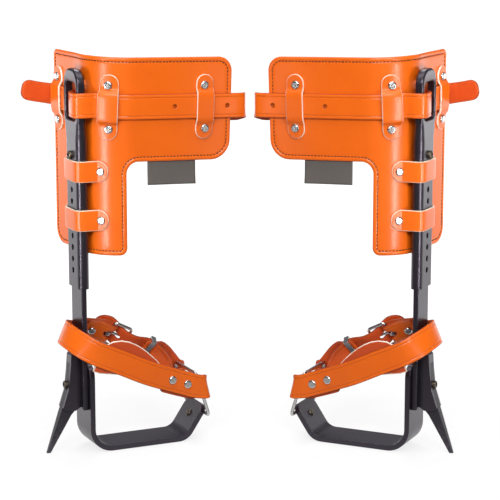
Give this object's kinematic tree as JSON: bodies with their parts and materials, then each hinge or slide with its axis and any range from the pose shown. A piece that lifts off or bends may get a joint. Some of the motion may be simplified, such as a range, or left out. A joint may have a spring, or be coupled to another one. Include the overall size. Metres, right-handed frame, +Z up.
{
  "type": "tree climbing spikes",
  "caption": "Mirrored pair of steel leg irons with gaff, stirrup and height-adjustable shank, leather calf pads and buckled calf and foot straps, for climbing trees and poles.",
  "frame": {"origin": "on the ground under the middle of the pair's box", "axes": "+X from the left spike to the right spike, +Y away from the pictured side, +Z up along the shanks"},
  "size_m": [0.511, 0.1318, 0.438],
  "materials": {
    "black_steel": "black powder coat, semi-gloss",
    "nickel": "bright nickel plate",
    "pad_leather": "smooth orange, semi-gloss",
    "strap_leather": "smooth orange with pale raw edges",
    "lining": "matt grey",
    "label": "plain dark woven tag"
  },
  "bodies": {
    "left_foot_iron": {"left_shank_bar": "black_steel", "left_stirrup": "black_steel", "left_gaff": "black_steel", "left_gaff_gusset": "black_steel", "left_gaff_screw": "black_steel", "left_ring_clip": "black_steel", "left_clip_rivet": "black_steel", "left_heel_strap": "strap_leather", "left_heel_strap_rivets": "nickel", "left_heel_pad": "pad_leather", "left_instep_strap": "strap_leather", "left_strap_slide": "nickel", "left_foot_buckle": "nickel"},
    "left_leg_piece": {"left_leg_tube": "black_steel", "left_height_screw": "nickel", "left_calf_pad": "pad_leather", "left_pad_lining": "lining", "left_upper_shank_keeper": "strap_leather", "left_lower_shank_keeper": "strap_leather", "left_rear_strap_keeper": "strap_leather", "left_middle_strap_keeper": "strap_leather", "left_front_strap_keeper": "strap_leather", "left_pad_rivets": "nickel", "left_calf_strap": "strap_leather", "left_calf_strap_rivet": "nickel", "left_calf_buckle": "nickel", "left_pad_label": "label"},
    "left_strap_ring": {"left_strap_ring": "nickel"},
    "left_foot_prong": {"left_foot_prong": "nickel"},
    "left_calf_prong": {"left_calf_prong": "nickel"},
    "right_foot_iron": {"right_shank_bar": "black_steel", "right_stirrup": "black_steel", "right_gaff": "black_steel", "right_gaff_gusset": "black_steel", "right_gaff_screw": "black_steel", "right_ring_clip": "black_steel", "right_clip_rivet": "black_steel", "right_heel_strap": "strap_leather", "right_heel_strap_rivets": "nickel", "right_heel_pad": "pad_leather", "right_instep_strap": "strap_leather", "right_strap_slide": "nickel", "right_foot_buckle": "nickel"},
    "right_leg_piece": {"right_leg_tube": "black_steel", "right_height_screw": "nickel", "right_calf_pad": "pad_leather", "right_pad_lining": "lining", "right_upper_shank_keeper": "strap_leather", "right_lower_shank_keeper": "strap_leather", "right_rear_strap_keeper": "strap_leather", "right_middle_strap_keeper": "strap_leather", "right_front_strap_keeper": "strap_leather", "right_pad_rivets": "nickel", "right_calf_strap": "strap_leather", "right_calf_strap_rivet": "nickel", "right_calf_buckle": "nickel", "right_pad_label": "label"},
    "right_strap_ring": {"right_strap_ring": "nickel"},
    "right_foot_prong": {"right_foot_prong": "nickel"},
    "right_calf_prong": {"right_calf_prong": "nickel"}
  },
  "joints": [
    {"name": "left_height_adjust", "type": "slide", "parent": "left_foot_iron", "child": "left_leg_piece", "axis": [0, 0, 1], "range_m": [0, 0.127]},
    {"name": "left_ring_swing", "type": "hinge", "parent": "left_foot_iron", "child": "left_strap_ring", "pos_m": [-0.05916, 0.02987, 0.02895], "axis": [-0.4226, 0.9063, 0], "range_deg": [-2.5, 2.5]},
    {"name": "left_foot_prong_tilt", "type": "hinge", "parent": "left_foot_iron", "child": "left_foot_prong", "pos_m": [-0.15887, 0.00931, 0.1235], "axis": [0.5794, -0.3627, 0.7299], "range_deg": [0, 30]},
    {"name": "left_calf_prong_tilt", "type": "hinge", "parent": "left_leg_piece", "child": "left_calf_prong", "pos_m": [-0.14417, 0.03983, 0.38184], "axis": [0.0633, -0.0078, 0.998], "range_deg": [0, 30]},
    {"name": "right_height_adjust", "type": "slide", "parent": "right_foot_iron", "child": "right_leg_piece", "axis": [0, 0, 1], "range_m": [0, 0.127]},
    {"name": "right_ring_swing", "type": "hinge", "parent": "right_foot_iron", "child": "right_strap_ring", "pos_m": [0.05916, 0.02987, 0.02895], "axis": [-0.4226, -0.9063, 0], "range_deg": [-2.5, 2.5]},
    {"name": "right_foot_prong_tilt", "type": "hinge", "parent": "right_foot_iron", "child": "right_foot_prong", "pos_m": [0.15887, 0.00931, 0.1235], "axis": [0.5794, 0.3627, -0.7299], "range_deg": [0, 30]},
    {"name": "right_calf_prong_tilt", "type": "hinge", "parent": "right_leg_piece", "child": "right_calf_prong", "pos_m": [0.14417, 0.03983, 0.38184], "axis": [0.0633, 0.0078, -0.998], "range_deg": [0, 30]},
    {"name": "pair_spread", "type": "slide", "parent": "left_foot_iron", "child": "right_foot_iron", "axis": [1, 0, 0], "range_m": [0, 0.25]}
  ]
}
